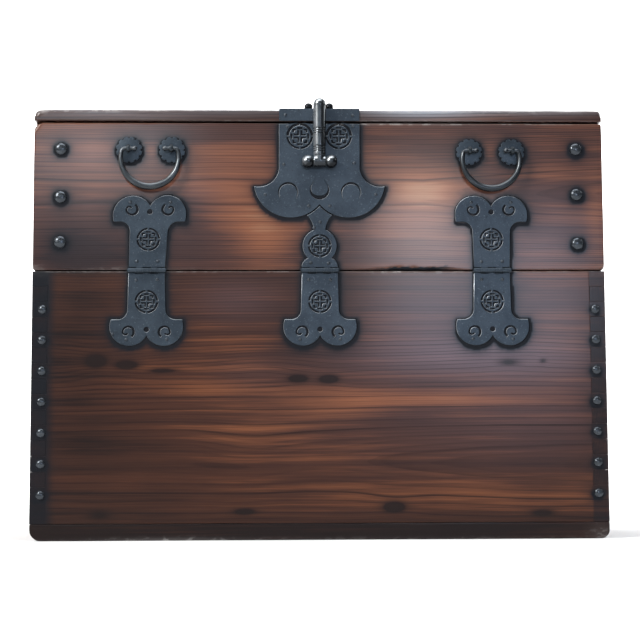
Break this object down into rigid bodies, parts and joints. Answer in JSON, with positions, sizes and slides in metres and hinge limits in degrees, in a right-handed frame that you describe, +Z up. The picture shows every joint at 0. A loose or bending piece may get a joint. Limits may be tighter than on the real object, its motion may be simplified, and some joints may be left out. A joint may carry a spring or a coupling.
{
  "type": "bandaji chest",
  "caption": "Korean drop-front storage chest of finger-jointed boards with pierced iron hinges, a lock plate with a swinging hasp, and drop handles.",
  "frame": {"origin": "middle of the base, on the floor: halfway along the front and halfway between the case's front and back faces", "axes": "+X along the front to the viewer's right, +Y from the front towards the back, +Z up; the drop front faces -Y"},
  "size_m": [0.9, 0.4426, 0.6934],
  "materials": {
    "wood": "dark red-brown oiled lacquer, worn to orange-brown in places",
    "iron": "dark blue-grey satin sheet iron with bright edges",
    "rubbed_iron": "dark forged iron rubbed bright by handling"
  },
  "bodies": {
    "case": {"bottom_board": "wood", "side_board_left": "wood", "side_board_right": "wood", "back_board_lower": "wood", "back_board_upper": "wood", "front_board": "wood", "top_board": "wood", "corner_nails_left": "iron", "corner_nails_right": "iron", "hinge_left_lower_leaf": "iron", "hinge_left_pin": "iron", "hinge_centre_lower_leaf": "iron", "hinge_centre_pin": "iron", "hinge_right_lower_leaf": "iron", "hinge_right_pin": "iron", "top_strap": "iron", "top_post_left": "rubbed_iron", "top_post_right": "rubbed_iron"},
    "flap": {"flap_panel": "wood", "flap_batten_left": "wood", "flap_batten_right": "wood", "flap_nails_left": "iron", "flap_nails_right": "iron", "hinge_left_upper_leaf": "iron", "hinge_centre_upper_leaf": "iron", "hinge_right_upper_leaf": "iron", "lock_plate": "iron", "hasp_post_left": "rubbed_iron", "hasp_post_right": "rubbed_iron", "hasp_pin": "rubbed_iron", "handle_left_rosettes": "iron", "handle_right_rosettes": "iron", "handle_left_posts": "rubbed_iron", "handle_right_posts": "rubbed_iron"},
    "hasp": {"hasp": "rubbed_iron"},
    "handle_left": {"handle_left_bail": "rubbed_iron"},
    "handle_right": {"handle_right_bail": "rubbed_iron"}
  },
  "joints": [
    {"name": "flap_drop", "type": "hinge", "parent": "case", "child": "flap", "pos_m": [0, -0.21405, 0.42], "axis": [1, 0, 0], "range_deg": [0, 135]},
    {"name": "hasp_swing", "type": "hinge", "parent": "flap", "child": "hasp", "pos_m": [0, -0.2223, 0.5914], "axis": [1, 0, 0], "range_deg": [0, 170]},
    {"name": "handle_left_swing", "type": "hinge", "parent": "flap", "child": "handle_left", "pos_m": [-0.267, -0.2225, 0.612], "axis": [-1, 0, 0], "range_deg": [0, 175]},
    {"name": "handle_right_swing", "type": "hinge", "parent": "flap", "child": "handle_right", "pos_m": [0.2715, -0.2225, 0.6094], "axis": [-1, 0, 0], "range_deg": [0, 175]}
  ]
}
